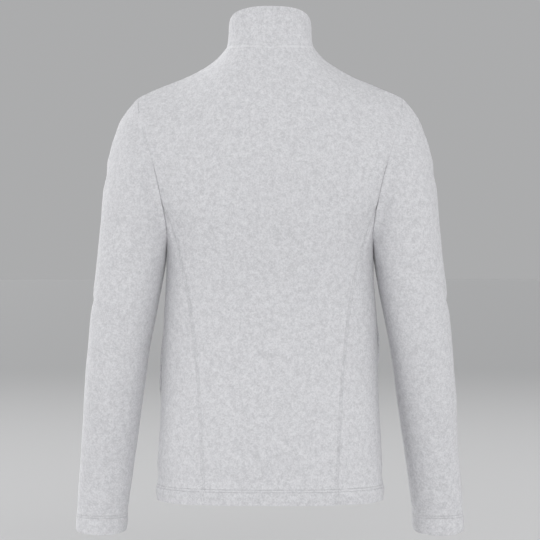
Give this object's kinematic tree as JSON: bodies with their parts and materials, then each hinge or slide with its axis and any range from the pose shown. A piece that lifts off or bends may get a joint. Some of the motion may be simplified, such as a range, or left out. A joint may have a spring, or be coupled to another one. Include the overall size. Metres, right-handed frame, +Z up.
{
  "type": "fleece zip jacket",
  "caption": "Worn-shape fleece jacket with stand collar, full front zip, set-in sleeves, curved side-back seams and in-seam hand pockets.",
  "frame": {"origin": "between the shoulders, level with the neck seam at the centre back, where a wearer's shoulders carry the jacket", "axes": "+Z up, -Y towards the front zip, +X towards the wearer's left"},
  "size_m": [0.5896, 0.2287, 0.7906],
  "materials": {
    "fleece": "brushed marl fleece, soft nap",
    "zip_tape": "woven zip tape",
    "zip_coil": "moulded coil teeth, satin",
    "zip_metal": "satin grey enamel"
  },
  "bodies": {
    "jacket": {"back_panel": "fleece", "side_panel_left": "fleece", "side_panel_right": "fleece", "front_left": "fleece", "front_right": "fleece", "sleeve_left": "fleece", "sleeve_right": "fleece", "collar": "fleece", "pocket_bag_left": "fleece", "pocket_bag_right": "fleece", "zip_tape_left": "zip_tape", "zip_tape_right": "zip_tape", "zip_chain": "zip_coil", "zip_box": "zip_metal", "zip_slider": "zip_metal"},
    "zip_pull_tab": {"zip_pull": "zip_metal"}
  },
  "joints": [
    {"name": "zip_pull_swing", "type": "hinge", "parent": "jacket", "child": "zip_pull_tab", "pos_m": [0, -0.07212, 0.00542], "axis": [-1, 0, 0], "range_deg": [0, 155]}
  ]
}
